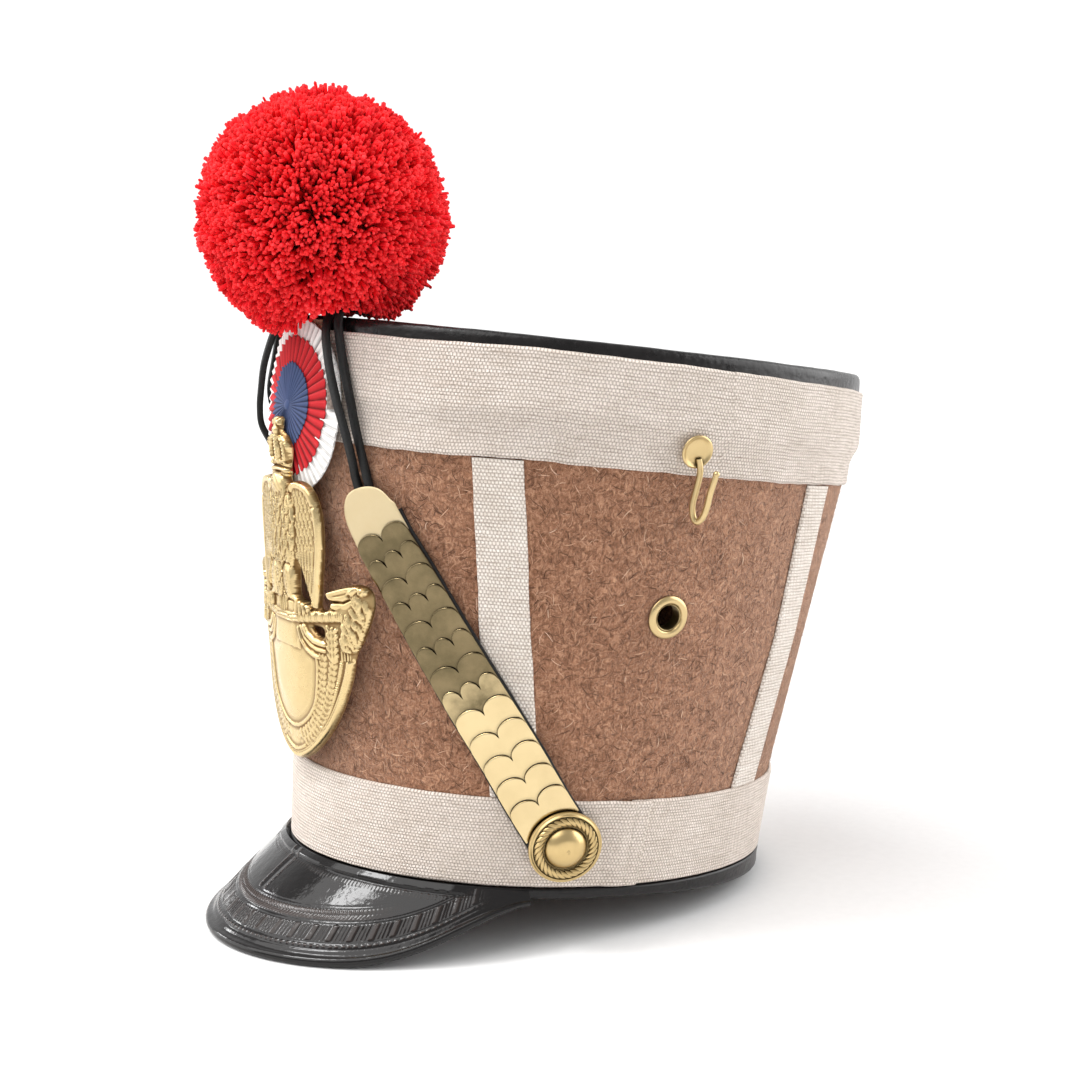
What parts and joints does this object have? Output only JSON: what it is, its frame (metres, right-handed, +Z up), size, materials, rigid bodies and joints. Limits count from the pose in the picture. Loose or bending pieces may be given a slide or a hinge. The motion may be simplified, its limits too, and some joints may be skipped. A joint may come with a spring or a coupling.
{
  "type": "shako hat",
  "caption": "Tall felt shako with a leather crown and peak, canvas bands, ball pompom, pleated cockade, eagle front plate and scaled chin strap, resting on a surface.",
  "frame": {"origin": "centre of the bounding box's base, on the surface that the hat rests on", "axes": "-Y is the hat's front, +X is the wearer's left, +Z is up; the hat leans back by 5.7 degrees as it rests on its peak and the back of its binding"},
  "size_m": [0.2332, 0.292, 0.3288],
  "materials": {
    "felt": "hairy brown felt",
    "pocket_felt": "brown felt",
    "crown_leather": "black, waxed",
    "canvas_top": "cream canvas",
    "canvas_base": "cream canvas",
    "canvas_strip": "cream canvas",
    "binding_leather": "black",
    "peak_leather": "black patent",
    "cockade_cloth": "pleated ribbon",
    "plate_brass": "stamped",
    "pompom_wool": "wool yarn",
    "stem_steel": "plain",
    "lace_leather": "black",
    "strap_leather": "black",
    "end_plate_brass": "brushed",
    "scale_brass": "polished",
    "boss_brass": "turned",
    "eyelet_brass": "polished"
  },
  "bodies": {
    "root": {"felt_body": "felt", "pompom_pocket": "pocket_felt", "crown_top": "crown_leather", "top_band": "canvas_top", "base_band": "canvas_base", "base_binding": "binding_leather", "visor": "peak_leather", "cockade": "cockade_cloth", "plate": "plate_brass", "pompom": "pompom_wool", "pompom_stem": "stem_steel", "lace_a": "lace_leather", "lace_b": "lace_leather", "strip_left_front": "canvas_strip", "strip_left_rear": "canvas_strip", "chin_strap_left": "strap_leather", "end_plate_left": "end_plate_brass", "boss_left": "boss_brass", "eyelet_left": "eyelet_brass", "hook_left": "eyelet_brass", "scale_left_01": "scale_brass", "scale_left_02": "scale_brass", "scale_left_03": "scale_brass", "scale_left_04": "scale_brass", "scale_left_05": "scale_brass", "scale_left_06": "scale_brass", "scale_left_07": "scale_brass", "scale_left_08": "scale_brass", "scale_left_09": "scale_brass", "scale_left_10": "scale_brass", "scale_left_11": "scale_brass", "scale_left_12": "scale_brass", "scale_left_13": "scale_brass", "strip_right_front": "canvas_strip", "strip_right_rear": "canvas_strip", "chin_strap_right": "strap_leather", "end_plate_right": "end_plate_brass", "boss_right": "boss_brass", "eyelet_right": "eyelet_brass", "hook_right": "eyelet_brass", "scale_right_01": "scale_brass", "scale_right_02": "scale_brass", "scale_right_03": "scale_brass", "scale_right_04": "scale_brass", "scale_right_05": "scale_brass", "scale_right_06": "scale_brass", "scale_right_07": "scale_brass", "scale_right_08": "scale_brass", "scale_right_09": "scale_brass", "scale_right_10": "scale_brass", "scale_right_11": "scale_brass", "scale_right_12": "scale_brass", "scale_right_13": "scale_brass"}
  },
  "joints": []
}
